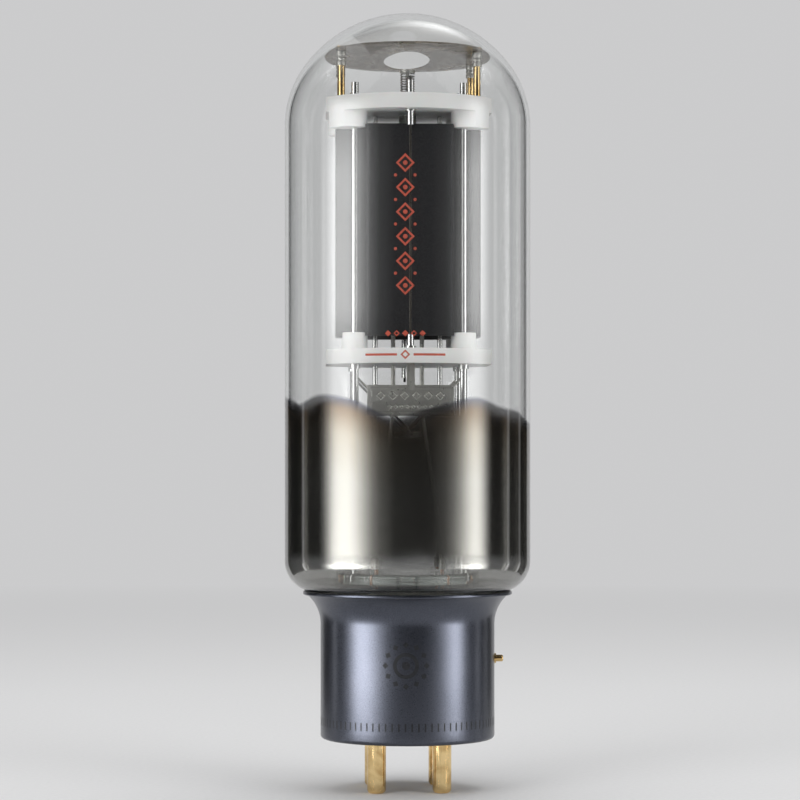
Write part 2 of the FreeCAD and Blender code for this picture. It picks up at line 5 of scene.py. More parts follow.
import bmesh
import bpy
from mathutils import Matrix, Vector


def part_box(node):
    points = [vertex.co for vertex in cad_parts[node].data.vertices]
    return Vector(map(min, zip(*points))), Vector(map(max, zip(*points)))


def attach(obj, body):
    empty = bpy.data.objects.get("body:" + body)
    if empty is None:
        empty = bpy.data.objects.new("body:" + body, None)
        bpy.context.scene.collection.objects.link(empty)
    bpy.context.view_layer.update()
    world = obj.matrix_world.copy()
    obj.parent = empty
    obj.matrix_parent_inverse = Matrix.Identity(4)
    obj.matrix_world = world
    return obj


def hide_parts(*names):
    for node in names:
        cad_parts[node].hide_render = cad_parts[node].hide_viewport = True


# A large power triode dressed for its portrait. Metres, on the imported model's frame: +Z up, -Y the front.
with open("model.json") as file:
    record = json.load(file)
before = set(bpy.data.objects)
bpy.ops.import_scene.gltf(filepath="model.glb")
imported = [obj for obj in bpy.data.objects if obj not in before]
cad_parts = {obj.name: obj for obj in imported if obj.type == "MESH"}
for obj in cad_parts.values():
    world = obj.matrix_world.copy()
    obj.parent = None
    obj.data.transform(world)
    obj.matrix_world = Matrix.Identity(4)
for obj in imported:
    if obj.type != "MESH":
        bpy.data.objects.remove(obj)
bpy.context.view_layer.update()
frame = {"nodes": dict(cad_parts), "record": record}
nodes = frame["nodes"]

MM = 0.001
PRINT_GAP = 0.02 * MM  # how far a print lies above the surface that carries it
VIEW_TURN = radians(-4)  # the prints face the camera, a little to the left of the front

# The bulb, read from its solid and from the few radii that the solid's box can't give
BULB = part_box("glass_envelope")
BULB_RADIUS = BULB[1].x
BULB_WALL = 1.5 * MM
CROWN_RADIUS = BULB_RADIUS + 1.4 * MM
SHOULDER_RADIUS = BULB_RADIUS - 6.3 * MM
Z_CROWN = BULB[1].z - CROWN_RADIUS
Z_SHOULDER = Z_CROWN + sqrt((CROWN_RADIUS - SHOULDER_RADIUS) ** 2 - (BULB_RADIUS - SHOULDER_RADIUS) ** 2)
NECK_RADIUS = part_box("glass_stem")[1].x
NECK_ROUND = 2.5 * MM
FOOT_RADIUS = BULB_RADIUS - NECK_RADIUS - NECK_ROUND - 0.45 * MM
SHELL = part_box("base_shell")
Z_RIM = SHELL[1].z
Z_BULB_FLOOR = Z_RIM - 0.45 * MM
Z_FOOT = Z_BULB_FLOOR + FOOT_RADIUS

# The getter's mirror film. Its upper edge rises in lobes: (degrees from the front, rise in millimetres)
FILM_GAP = 0.05 * MM  # the film lies in the glass, just off its inside
FILM_LOW_EDGE = 101.5 * MM
FILM_LOBES = [(-39, 6.5), (-68, 2.5), (-96, 6), (28, 6), (50, 1.5), (148, 6), (214, 7)]
FILM_LOBE_WIDTH = 26
FILM_FOOT_TURN = -74  # how far the film goes down round the foot

# The base shell
SHELL_RADIUS = 24.15 * MM
SHELL_WALL = 1.1 * MM
FLARE_HEIGHT = 9.1 * MM
RIM_HEIGHT = 1.0 * MM
RIM_OVERHANG = 1.15 * MM

# Light and camera
PALE = 0.60  # the floor's and backdrop's brightness
PALE_COLOUR = (PALE, PALE, PALE * 1.01, 1)
ROOM_LIGHT = 0.50
SOFTBOX_LIGHT = 3.6
# The dark screen round the tube, with a softbox at each side and thin strips of light further round:
# (angle at which the bulb mirrors it, share of the softbox's light), then (height, share, own brightness)
SCREEN_DISTANCE = 0.22
SCREEN_ACROSS = [
    (-150, 0.0), (-117, 0.0), (-114, 0.30), (-111, 0.0), (-90, 0.0), (-84.5, 0.10), (-79, 0.40),
    (-72.4, 0.90), (-67, 1.0), (-57, 1.0), (-49, 0.72), (-40.5, 0.36), (-33, 0.15), (-25.8, 0.055),
    (-12, 0.012), (22, 0.008), (35.6, 0.035), (44, 0.10), (50.6, 0.22), (58, 0.52), (64, 0.80),
    (69, 0.85), (73, 0.70), (78.2, 0.34), (82, 0.08), (85, 0.0), (105, 0.0), (108, 0.32), (111, 0.0),
    (126, 0.0), (129, 0.16), (132, 0.0), (150, 0.0),
]
SCREEN_UP = [
    (0.0, 3.4, 0.02), (0.038, 3.4, 0.02), (0.056, 1.0, 0.02), (0.130, 1.05, 0.02), (0.144, 1.75, 0.02),
    (0.190, 1.75, 0.02), (0.208, 1.1, 0.02), (0.232, 1.0, 0.02), (0.252, 0.5, 0.02), (0.272, 0.0, 0.02),
    (0.31, 0.0, 0.08), (0.42, 0.0, 0.6),
]
LAMPS = [  # name, place, size, power
    ("lamp_left", (-0.8, -0.9, 0.7), 0.7, 5.0),
    ("lamp_right", (0.9, -0.8, 0.6), 0.7, 4.0),
    ("lamp_overhead", (0.1, 0.2, 1.3), 0.9, 6.0),
]
LAMP_AIM = (0, 0, 0.1)
FLOOR_RADIUS = 6.0
FLOOR_FADE = (0.35, 1.3)  # distances between which the floor turns into the backdrop
FOCAL_PIXELS = 2600
IMAGE_PIXELS = 800
CAMERA_PLACE = (-0.038, -0.721, 0.0886)
HORIZON_ROW = 470
AXIS_COLUMN = 407.5


# Meshes


def arc(x, z, radius, start, end, steps):
    angles = [radians(start + (end - start) * n / steps) for n in range(steps + 1)]
    return [(x + radius * cos(a), z + radius * sin(a)) for a in angles]


def oval(x, y, across, along, count):
    angles = [2 * pi * n / count for n in range(count)]
    return [(x + across * cos(a), y + along * sin(a)) for a in angles]


def add_object(name, bm, material, angle=35):
    """A piece from a mesh, smooth over edges that turn by less than the angle."""
    bmesh.ops.recalc_face_normals(bm, faces=bm.faces)
    mesh = bpy.data.meshes.new(name)
    bm.to_mesh(mesh)
    bm.free()
    mesh.polygons.foreach_set("use_smooth", [True] * len(mesh.polygons))
    mesh.set_sharp_from_angle(angle=radians(angle))
    mesh.materials.append(material)
    piece = bpy.data.objects.new(name, mesh)
    bpy.context.scene.collection.objects.link(piece)
    return piece


def turned(bm, profile, segments, closed=True, centre=(0, 0)):
    """Turns a profile of (radius, height) points about an upright axis. A radius of 0 gives one point."""
    rings = []
    for radius, z in profile:
        ring = oval(*centre, radius, radius, segments if radius else 1)
        rings.append([bm.verts.new((x, y, z)) for x, y in ring])
    for low, high in zip(rings, rings[1:] + rings[:1] * closed):
        if len(low) == len(high) == 1:
            continue
        for n in range(segments):
            m = (n + 1) % segments
            quad = [low[n % len(low)], low[m % len(low)], high[m % len(high)], high[n % len(high)]]
            bm.faces.new(list(dict.fromkeys(quad)))


def on_drum(across, z, radius, turn):
    """A point of a flat drawing, wrapped round an upright drum."""
    a = turn + across / radius
    return radius * sin(a), -radius * cos(a), z


def draw_stroke(bm, start, end, width, radius, turn):
    """A straight stroke of a print, laid on a drum in short steps."""
    length = sqrt((end[0] - start[0]) ** 2 + (end[1] - start[1]) ** 2)
    ux, uz = (end[0] - start[0]) / length, (end[1] - start[1]) / length
    steps = max(1, round(length / (0.5 * MM)))
    rows = []
    for n in range(steps + 1):
        x, z = start[0] + ux * length * n / steps, start[1] + uz * length * n / steps
        sides = [(x + uz * width * s / 2, z - ux * width * s / 2) for s in (-1, 1)]
        rows.append([bm.verts.new(on_drum(a, b, radius, turn)) for a, b in sides])
    for (a, b), (c, d) in zip(rows, rows[1:]):
        bm.faces.new((a, b, d, c))


def draw_ring(bm, x, z, outer, inner, radius, turn, sides=48, first=0):
    """A ring or, with four sides, a diamond. An inner size of 0 fills it."""
    angles = [first + 2 * pi * n / sides for n in range(sides)]
    out = [bm.verts.new(on_drum(x + outer * cos(a), z + outer * sin(a), radius, turn)) for a in angles]
    if not inner:
        bm.faces.new(out)
        return
    inn = [bm.verts.new(on_drum(x + inner * cos(a), z + inner * sin(a), radius, turn)) for a in angles]
    for n in range(sides):
        m = (n + 1) % sides
        bm.faces.new((out[n], out[m], inn[m], inn[n]))


# Materials


class Finish:
    """A material with its shader, and short calls for the nodes that drive it."""

    def __init__(self, name, roughness, metallic=0.0, **sockets):
        self.material = bpy.data.materials.new(name)
        self.material.use_nodes = True
        self.tree = self.material.node_tree
        self.shader = self.tree.nodes["Principled BSDF"]
        self.shader.inputs["Roughness"].default_value = roughness
        self.shader.inputs["Metallic"].default_value = metallic
        for socket, value in sockets.items():
            self.shader.inputs[socket.replace("_", " ")].default_value = value
        self.place = self.tree.nodes.new("ShaderNodeTexCoord").outputs["Object"]

    def link(self, source, target):
        self.tree.links.new(source, target)

    def set(self, socket, source):
        self.link(source, self.shader.inputs[socket])

    def noise(self, scale, detail=4.0, stretch=(1, 1, 1), distortion=0.0):
        """Noise with a size in repeats a metre, drawn out along an axis by a small stretch."""
        mapping = self.tree.nodes.new("ShaderNodeMapping")
        mapping.inputs["Scale"].default_value = stretch
        self.link(self.place, mapping.inputs["Vector"])
        texture = self.tree.nodes.new("ShaderNodeTexNoise")
        texture.inputs["Scale"].default_value = scale
        texture.inputs["Detail"].default_value = detail
        texture.inputs["Distortion"].default_value = distortion
        self.link(mapping.outputs["Vector"], texture.inputs["Vector"])
        return texture.outputs["Fac"]

    def attribute(self, name):
        node = self.tree.nodes.new("ShaderNodeAttribute")
        node.attribute_name = name
        return node.outputs["Fac"]

    def ramp(self, source, *stops):
        """Colours or grey levels at places from 0 to 1."""
        node = self.tree.nodes.new("ShaderNodeValToRGB")
        while len(node.color_ramp.elements) < len(stops):
            node.color_ramp.elements.new(1.0)
        for element, (place, value) in zip(node.color_ramp.elements, stops):
            element.position = place
            element.color = (*value, 1) if isinstance(value, tuple) else (value, value, value, 1)
        self.link(source, node.inputs["Fac"])
        return node.outputs["Color"]

    def range(self, source, low, high, from_low=0.3, from_high=0.7):
        node = self.tree.nodes.new("ShaderNodeMapRange")
        levels = {"From Min": from_low, "From Max": from_high, "To Min": low, "To Max": high}
        for socket, value in levels.items():
            node.inputs[socket].default_value = value
        self.link(source, node.inputs["Value"])
        return node.outputs["Result"]

    def math(self, operation, a, b):
        node = self.tree.nodes.new("ShaderNodeMath")
        node.operation = operation
        for source, target in ((a, node.inputs[0]), (b, node.inputs[1])):
            if isinstance(source, (int, float)):
                target.default_value = source
            else:
                self.link(source, target)
        return node.outputs["Value"]

    def bump(self, height, depth, strength):
        node = self.tree.nodes.new("ShaderNodeBump")
        node.inputs["Strength"].default_value = strength
        node.inputs["Distance"].default_value = depth
        self.link(height, node.inputs["Height"])
        self.set("Normal", node.outputs["Normal"])

    def let_light_through(self, tint):
        """Light from the lamps reaches what is behind the glass."""
        path = self.tree.nodes.new("ShaderNodeLightPath")
        clear = self.tree.nodes.new("ShaderNodeBsdfTransparent")
        clear.inputs["Color"].default_value = (*tint, 1)
        mix = self.tree.nodes.new("ShaderNodeMixShader")
        factor = self.math("MAXIMUM", path.outputs["Is Shadow Ray"], path.outputs["Is Diffuse Ray"])
        self.link(factor, mix.inputs[0])
        self.link(self.shader.outputs[0], mix.inputs[1])
        self.link(clear.outputs[0], mix.inputs[2])
        self.link(mix.outputs[0], self.tree.nodes["Material Output"].inputs["Surface"])


def glass(name, tint, roughness, density):
    """Clear glass with faint rubbing marks, whose colour gathers where the eye looks along the wall."""
    finish = Finish(name, 0.0, IOR=1.5, Transmission_Weight=1.0)
    wear = finish.noise(900, 3, (1, 1, 0.25))
    finish.set("Roughness", finish.range(wear, 0.0, roughness, 0.5, 0.8))
    cloud = finish.noise(40, 2)
    finish.set("Base Color", finish.ramp(cloud, (0.3, (1, 1, 1)), (0.7, (0.985, 0.985, 0.985))))
    finish.let_light_through((0.95, 0.95, 0.95))
    inside = finish.tree.nodes.new("ShaderNodeVolumeAbsorption")
    inside.inputs["Color"].default_value = (*tint, 1)
    inside.inputs["Density"].default_value = density
    finish.link(inside.outputs[0], finish.tree.nodes["Material Output"].inputs["Volume"])
    return finish.material


def metal(name, colour, roughness, grain_scale=700, stretch=(1, 1, 1), depth=0.01 * MM, metallic=1.0):
    """Metal with a fine grain in its colour, its shine and its surface."""
    finish = Finish(name, roughness, metallic)
    grain = finish.noise(grain_scale, 6, stretch)
    cloud = finish.noise(140, 4)
    finish.set("Base Color", finish.ramp(cloud, (0.3, tuple(c * 0.82 for c in colour)), (0.7, colour)))
    finish.set("Roughness", finish.range(grain, roughness * 0.7, roughness * 1.5))
    finish.bump(grain, depth, 0.4)
    return finish.material


def gilt_material():
    finish = Finish("gilt", 0.12, 1.0)
    scratch = finish.noise(1500, 3, (1, 1, 0.08))
    cloud = finish.noise(260, 5, distortion=0.6)
    finish.set("Base Color", finish.ramp(cloud, (0.35, (0.60, 0.40, 0.17)), (0.6, (0.86, 0.64, 0.32))))
    finish.set("Roughness", finish.range(scratch, 0.05, 0.26, 0.45, 0.75))
    finish.bump(finish.math("ADD", scratch, finish.math("MULTIPLY", cloud, 0.6)), 0.012 * MM, 0.5)
    return finish.material


def lacquer_material():
    """Blue-grey lacquer over metal flake."""
    finish = Finish("shell_lacquer", 0.34, 0.92, Coat_Weight=0.2, Coat_Roughness=0.22)
    flake = finish.noise(5200, 2)
    cloud = finish.noise(60, 3)
    tone = finish.math("ADD", finish.math("MULTIPLY", flake, 0.7), finish.math("MULTIPLY", cloud, 0.3))
    finish.set("Base Color", finish.ramp(tone, (0.35, (0.052, 0.058, 0.076)), (0.62, (0.100, 0.107, 0.133))))
    finish.set("Roughness", finish.range(flake, 0.26, 0.35))
    finish.bump(flake, 0.006 * MM, 0.5)
    return finish.material


def ceramic_material():
    finish = Finish("alumina", 0.42, Subsurface_Weight=0.12, Subsurface_Scale=0.6 * MM)
    speck = finish.noise(1300, 5)
    cloud = finish.noise(120, 3)
    finish.set("Base Color", finish.ramp(cloud, (0.3, (0.80, 0.795, 0.78)), (0.7, (0.86, 0.86, 0.85))))
    finish.set("Roughness", finish.range(speck, 0.34, 0.56))
    finish.bump(speck, 0.02 * MM, 0.5)
    return finish.material


def graphite_material():
    finish = Finish("graphite", 0.55, Specular_IOR_Level=0.3)
    grain = finish.noise(2600, 6)
    tool_marks = finish.noise(420, 3, (0.05, 0.05, 1))
    finish.set("Base Color", finish.ramp(grain, (0.35, (0.006, 0.006, 0.007)), (0.7, (0.022, 0.022, 0.024))))
    finish.set("Roughness", finish.range(grain, 0.45, 0.65))
    finish.bump(finish.math("ADD", grain, tool_marks), 0.002 * MM, 0.5)
    return finish.material


def mica_material():
    """Split mica: thin brown sheets with pale cleavage patches, and a pale band along the ragged edge that
    is a painted highlight.
    """
    finish = Finish("mica", 0.25, Coat_Weight=0.5, Coat_Roughness=0.12)
    patch = finish.noise(180, 6, distortion=0.8)
    rim = finish.attribute("rim")
    brown = finish.ramp(
        patch,
        (0.32, (0.11, 0.075, 0.040)),
        (0.52, (0.20, 0.15, 0.09)),
        (0.72, (0.38, 0.32, 0.23)),
    )
    # The pale colour mixed in along the rim is a painted highlight on the sheets' edges.
    pale = finish.tree.nodes.new("ShaderNodeMix")
    pale.data_type = "RGBA"
    finish.link(rim, pale.inputs["Factor"])
    finish.link(brown, pale.inputs["A"])
    pale.inputs["B"].default_value = (0.80, 0.77, 0.70, 1)
    finish.set("Base Color", pale.outputs["Result"])
    cover = finish.range(patch, 0.28, 0.62)
    finish.set("Alpha", finish.math("ADD", cover, finish.math("MULTIPLY", rim, 0.3)))
    finish.set("Roughness", finish.range(finish.noise(700, 4), 0.15, 0.4))
    finish.bump(patch, 0.02 * MM, 0.5)
    return finish.material


def film_material():
    """The getter's mirror: silver where it is thick, brown and then blue where it thins out at its edge."""
    finish = Finish("getter_film", 0.16, 1.0)
    depth = finish.attribute("below_edge")
    thick = finish.attribute("thickness")
    streak = finish.noise(160, 4, (1, 1, 0.06))
    colour = finish.ramp(
        depth,
        (0.00, (0.020, 0.026, 0.070)),
        (0.04, (0.034, 0.034, 0.050)),
        (0.12, (0.135, 0.098, 0.064)),
        (0.34, (0.225, 0.205, 0.170)),
        (0.75, (0.270, 0.262, 0.240)),
    )
    finish.set("Base Color", colour)
    cover = finish.ramp(depth, (0.0, 0.0), (0.035, 0.72), (0.10, 0.90), (0.3, 1.0))
    finish.set("Alpha", finish.math("MULTIPLY", cover, thick))
    finish.set("Roughness", finish.range(streak, 0.10, 0.16))
    return finish.material


def print_material(name, colour):
    """Screen-printed ink with small gaps."""
    finish = Finish(name, 0.5)
    wear = finish.noise(1600, 4)
    finish.set("Base Color", finish.ramp(wear, (0.3, tuple(c * 0.75 for c in colour)), (0.65, colour)))
    finish.set("Alpha", finish.range(wear, 0.72, 0.97, 0.25, 0.42))
    return finish.material


def plain_material(name, dark, light, roughness, scale, depth):
    finish = Finish(name, roughness)
    grain = finish.noise(scale, 6)
    finish.set("Base Color", finish.ramp(grain, (0.3, dark), (0.7, light)))
    finish.set("Roughness", finish.range(grain, roughness * 0.8, min(1.0, roughness * 1.25)))
    finish.bump(grain, depth, 0.6)
    return finish.material


FINISHES = {
    "bulb_glass": glass("bulb_glass", (0.42, 0.52, 0.46), 0.003, 34),
    "stem_glass": glass("stem_glass", (0.60, 0.72, 0.65), 0.05, 26),
    "shell_lacquer": lacquer_material(),
    "base_cement": plain_material(
        "base_cement", (0.13, 0.12, 0.11), (0.24, 0.23, 0.21), 0.85, 900, 0.06 * MM
    ),
    "phenolic": plain_material(
        "phenolic", (0.018, 0.015, 0.014), (0.035, 0.030, 0.028), 0.45, 1200, 0.02 * MM
    ),
    "gilt": gilt_material(),
    "alumina": ceramic_material(),
    "graphite": graphite_material(),
    "mica": mica_material(),
    "steel_wire": metal("steel_wire", (0.72, 0.72, 0.71), 0.16, 1800, (1, 1, 0.1)),
    "nickel": metal("nickel", (0.62, 0.61, 0.57), 0.34, 1500, (1, 1, 0.5), 0.001 * MM, 0.8),
    "tungsten": metal("tungsten", (0.36, 0.355, 0.345), 0.24, 2200),
    "copper_lead": metal("copper_lead", (0.62, 0.34, 0.21), 0.28, 1500, (1, 1, 0.2)),
}


# The pieces


def bulb_profile(inset):
    """The bulb's outline from the end of the neck to the top of the dome."""
    turn = degrees(acos((BULB_RADIUS - SHOULDER_RADIUS) / (CROWN_RADIUS - SHOULDER_RADIUS)))
    throat = NECK_RADIUS + NECK_ROUND
    neck = NECK_RADIUS - inset
    points = [(neck, BULB[0].z), (neck, BULB[0].z + 5 * MM)]
    points += arc(throat, Z_BULB_FLOOR - NECK_ROUND, NECK_ROUND + inset, 180, 90, 10)
    points += arc(BULB_RADIUS - FOOT_RADIUS, Z_FOOT, FOOT_RADIUS - inset, -90, 0, 28)
    straight = Z_SHOULDER - Z_FOOT
    points += [(BULB_RADIUS - inset, Z_FOOT + straight * n / 12) for n in range(1, 12)]
    points += arc(BULB_RADIUS - SHOULDER_RADIUS, Z_SHOULDER, SHOULDER_RADIUS - inset, 0, turn, 28)
    points += arc(0, Z_CROWN, CROWN_RADIUS - inset, turn, 90, 40)[1:-1]
    return points + [(0, Z_CROWN + CROWN_RADIUS - inset)]


def make_bulb():
    bm = bmesh.new()
    turned(bm, bulb_profile(PRINT_GAP) + bulb_profile(BULB_WALL)[::-1], 224)
    return add_object("bulb", bm, FINISHES["bulb_glass"])


def film_edge(angle):
    """The height of the film's upper edge, at an angle in degrees from the front."""
    rise = 0
    for middle, height in FILM_LOBES:
        off = (angle - middle + 180) % 360 - 180
        rise += height * exp(-((off / FILM_LOBE_WIDTH) ** 2))
    ripple = 0.5 * sin(radians(angle * 7)) + 0.35 * sin(radians(angle * 13 + 40))
    return FILM_LOW_EDGE + (rise + ripple) * MM


def film_thickness(angle, z):
    """The film lets a little light through between the two front lobes, and more low down by the stem."""
    strip_middle, strip_width, strip_loss = 2, 7, 0.14
    low_top, low_fade, low_loss = 66.5 * MM, 3 * MM, 0.35
    front_width, front_loss = 42, 0.3
    off = (angle - strip_middle + 180) % 360 - 180
    low = min(1.0, max(0.0, (low_top - z) / low_fade))
    strip = 1 - strip_loss * exp(-((off / strip_width) ** 2))
    return strip * (1 - low * (low_loss + front_loss * exp(-((off / front_width) ** 2))))


def make_film():
    """A skin on the inside of the glass, from its wavy upper edge down into the rounded foot."""
    inside = BULB_WALL - FILM_GAP
    foot = arc(BULB_RADIUS - FOOT_RADIUS, Z_FOOT, FOOT_RADIUS - inside, 0, FILM_FOOT_TURN, 16)
    steps, segments = 48, 360
    crowding = 1.6  # rows lie closer together near the upper edge
    full_depth = 30 * MM
    bm = bmesh.new()
    depth = bm.verts.layers.float.new("below_edge")
    thick = bm.verts.layers.float.new("thickness")
    columns = []
    for n in range(segments):
        angle = 360 * n / segments
        top = film_edge(angle)
        heights = [top + (Z_FOOT - top) * (k / steps) ** crowding for k in range(steps)]
        column = [(BULB_RADIUS - inside, z) for z in heights] + foot
        verts = []
        for radius, z in column:
            vert = bm.verts.new(on_drum(0, z, radius, radians(angle)))
            vert[depth] = min(1.0, (top - z) / full_depth)
            vert[thick] = film_thickness(angle, z)
            verts.append(vert)
        columns.append(verts)
    for left, right in zip(columns, columns[1:] + columns[:1]):
        for k in range(len(left) - 1):
            bm.faces.new((left[k], left[k + 1], right[k + 1], right[k]))
    return add_object("getter_film", bm, film_material())


def shell_profile():
    """The base shell's section: lip, side, hollow flare, beaded rim, and back down inside."""
    rim = SHELL[1].x
    rise, reach = FLARE_HEIGHT - RIM_HEIGHT, rim - RIM_OVERHANG - SHELL_RADIUS
    flare = (reach**2 + rise**2) / (2 * reach)
    x, z = SHELL_RADIUS + flare, Z_RIM - FLARE_HEIGHT
    edge, bead, chamfer = 1.1 * MM, RIM_HEIGHT * 0.4, 0.15 * MM
    low = SHELL[0].z
    turn = degrees(acos((flare - reach) / flare))
    mouth = rim - 1.0 * MM
    inner = flare + SHELL_WALL
    turn_in = degrees(acos(sqrt(inner**2 - rise**2) / inner))
    lip = SHELL_RADIUS - SHELL_WALL - 1.6 * MM
    side = SHELL_RADIUS - PRINT_GAP
    points = [(lip, low + chamfer), (lip + chamfer, low)]
    points += arc(side - edge, low + edge, edge, -90, 0, 10)
    points += [(side, low + (z - low) * n / 10) for n in range(1, 10)]
    points += [(p[0] - PRINT_GAP, p[1]) for p in arc(x, z, flare, 180, 180 - turn, 24)]
    points += arc(rim - bead, z + rise + bead, bead, -90, 0, 8)
    points += arc(rim - bead, Z_RIM - bead, bead, 0, 90, 8)
    points += [(mouth + chamfer, Z_RIM), (mouth, Z_RIM - chamfer)]
    points += arc(x, z, inner, 180 - turn_in, 180, 16)
    points += [(SHELL_RADIUS - SHELL_WALL, low + SHELL_WALL), (lip, low + SHELL_WALL)]
    return points


def make_shell():
    bm = bmesh.new()
    turned(bm, shell_profile(), 192)
    return add_object("base_shell_lacquered", bm, FINISHES["shell_lacquer"], 40)


def make_pin(number):
    """A contact pin with a softly rounded tip, a waist in the insulator and a riveted, bored top."""
    low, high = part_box(f"contact_pin_{number}")
    x, y = (low.x + high.x) / 2, (low.y + high.y) / 2
    radius, waist, flange = 2.6 * MM, 2.0 * MM, high.x - x
    tip, shoulder_edge, rivet_edge = 1.2 * MM, 0.1 * MM, 0.2 * MM
    bore, bore_end = 0.7 * MM, high.z - 3.5 * MM
    under, over = [corner.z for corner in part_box("base_insulator")]
    profile = [(0, 0)] + arc(radius - tip, tip, tip, -90, 0, 12)
    profile += [(radius, tip + (under - tip) * n / 8) for n in range(1, 8)]
    profile += [(radius, under - shoulder_edge), (radius - shoulder_edge, under), (waist, under)]
    profile += [(waist, over), (flange, over), (flange, high.z - rivet_edge), (flange - rivet_edge, high.z)]
    profile += [(bore, high.z), (bore, bore_end), (0, bore_end)]
    bm = bmesh.new()
    turned(bm, profile, 64, closed=False, centre=(x, y))
    return add_object(f"gilt_pin_{number}", bm, FINISHES["gilt"], 30)


def make_spring():
    """A close coil of round wire."""
    low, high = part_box("tension_spring")
    wire, inset = 0.19 * MM, 0.22 * MM
    radius = high.x - inset
    turns, steps = 20, 20
    curve = bpy.data.curves.new("spring_coil", "CURVE")
    curve.dimensions = "3D"
    curve.bevel_depth = wire
    curve.bevel_resolution = 3
    curve.use_fill_caps = True
    count = turns * steps + 1
    spline = curve.splines.new("POLY")
    spline.points.add(count - 1)
    for n, point in enumerate(spline.points):
        a = 2 * pi * n / steps
        z = low.z + wire + (high.z - low.z - 2 * wire) * n / (count - 1)
        point.co = (radius * cos(a), radius * sin(a), z, 1)
    spline.use_smooth = True
    curve.materials.append(FINISHES["tungsten"])
    piece = bpy.data.objects.new("spring_coil", curve)
    bpy.context.scene.collection.objects.link(piece)
    return piece


def make_cup():
    """The spring's cup, with rolled ridges round its lower end."""
    low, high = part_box("spring_cup")
    flange, collar, wall, eyelet = high.x, 1.6 * MM, 0.25 * MM, 0.6 * MM
    ridges, steps, ridge, pitch = 4, 10, 0.07 * MM, 0.66 * MM
    edge, flange_edge = 0.1 * MM, 0.12 * MM
    outer, inner = flange - collar, flange - collar - wall
    profile = [(eyelet, low.z)]
    for n in range(ridges * steps + 1):
        dip = ridge * (1 - cos(2 * pi * n / steps)) + ridge * exp(-n)
        profile.append((outer - dip, low.z + pitch * n / steps))
    profile += [(outer, low.z + pitch * (ridges + 0.4)), (outer, high.z - wall)]
    profile += [(flange - edge, high.z - wall), (flange, high.z - flange_edge), (flange - edge, high.z)]
    profile += [(inner + edge, high.z), (inner, high.z - edge)]
    profile += [(inner, low.z + wall), (eyelet, low.z + wall)]
    bm = bmesh.new()
    turned(bm, profile, 72)
    return add_object("ridged_cup", bm, FINISHES["nickel"], 50)


def make_ferrule(number):
    """A sleeve pinched on to its post in two places."""
    low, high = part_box(f"mica_ferrule_{number}")
    x, y = (low.x + high.x) / 2, (low.y + high.y) / 2
    outer, bore, height, steps = high.x - x, 1.03 * MM, high.z - low.z, 46
    pinch_places, pinch_width, pinch_depth = (0.34, 0.60), 0.055, 0.24 * MM
    end_width, end_depth = 0.05, 0.08 * MM
    profile = []
    for n in range(steps + 1):
        share = n / steps
        pinch = sum(exp(-(((share - place) / pinch_width) ** 2)) for place in pinch_places)
        ends = sum(max(0.0, 1 - reach / end_width) ** 2 for reach in (share, 1 - share))
        profile.append((outer - pinch_depth * pinch - end_depth * ends, low.z + height * share))
    profile += [(bore, high.z), (bore, low.z)]
    bm = bmesh.new()
    turned(bm, profile, 56, centre=(x, y))
    return add_object(f"pinched_ferrule_{number}", bm, FINISHES["nickel"], 50)


def mica_outline(radius, depth, seed):
    """A round edge with small flakes broken out of it, never past the radius."""
    chance = random.Random(seed)
    flakes, corners, roughness = 34, 260, 0.15
    chips = [
        (chance.uniform(0, 2 * pi), chance.uniform(0.01, 0.06), chance.uniform(0.2, 1))
        for n in range(flakes)
    ]
    points = []
    for n in range(corners):
        a = 2 * pi * n / corners
        cut = 0
        for middle, width, share in chips:
            off = (a - middle + pi) % (2 * pi) - pi
            cut = max(cut, share * max(0.0, 1 - (off / width) ** 2))
        r = radius - depth * (cut + roughness * chance.random())
        points.append((r * cos(a), r * sin(a)))
    return points


def make_mica():
    """Three split sheets, each with its own ragged edge, round one oval window."""
    low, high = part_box("top_mica_disc")
    posts = [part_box(f"mica_post_{n}") for n in range(1, 5)]
    centres = [((a.x + b.x) / 2, (a.y + b.y) / 2) for a, b in posts]
    hole = 1.02 * MM
    half_width, half_length, rear_rim = 6.45 * MM, 14.9 * MM, 3.48 * MM
    window = oval(0, high.y - rear_rim - half_length, half_width, half_length, 72)
    ragged, rim_highlight_width = 0.55 * MM, 0.5 * MM
    bm = bmesh.new()
    rim = bm.verts.layers.float.new("rim")
    sheets, gap, first_seed = 3, 0.03 * MM, 3
    pitch = (high.z - low.z + gap) / sheets
    for sheet in range(sheets):
        z0 = low.z + pitch * sheet
        loops = [mica_outline(high.x, ragged, first_seed + sheet), window]
        loops += [oval(x, y, hole, hole, 24) for x, y in centres]
        edges = []
        for loop in loops:
            verts = [bm.verts.new((x, y, z0)) for x, y in loop]
            for vert in verts:
                vert[rim] = 1.0
            edges += [bm.edges.new((a, b)) for a, b in zip(verts, verts[1:] + verts[:1])]
        filled = bmesh.ops.triangle_fill(bm, use_beauty=True, edges=edges)
        faces = [f for f in filled["geom"] if isinstance(f, bmesh.types.BMFace)]
        # The inset band along every edge and hole carries the painted rim highlight.
        inset = bmesh.ops.inset_region(bm, faces=faces, thickness=rim_highlight_width, use_even_offset=False)
        inner = {v for f in faces for v in f.verts}
        for vert in inner:
            vert[rim] = 0.0
        faces += inset["faces"]
        raised = bmesh.ops.extrude_face_region(bm, geom=faces)
        top = [v for v in raised["geom"] if isinstance(v, bmesh.types.BMVert)]
        bmesh.ops.translate(bm, vec=(0, 0, pitch - gap), verts=top)
    return add_object("split_mica_disc", bm, FINISHES["mica"], 30)


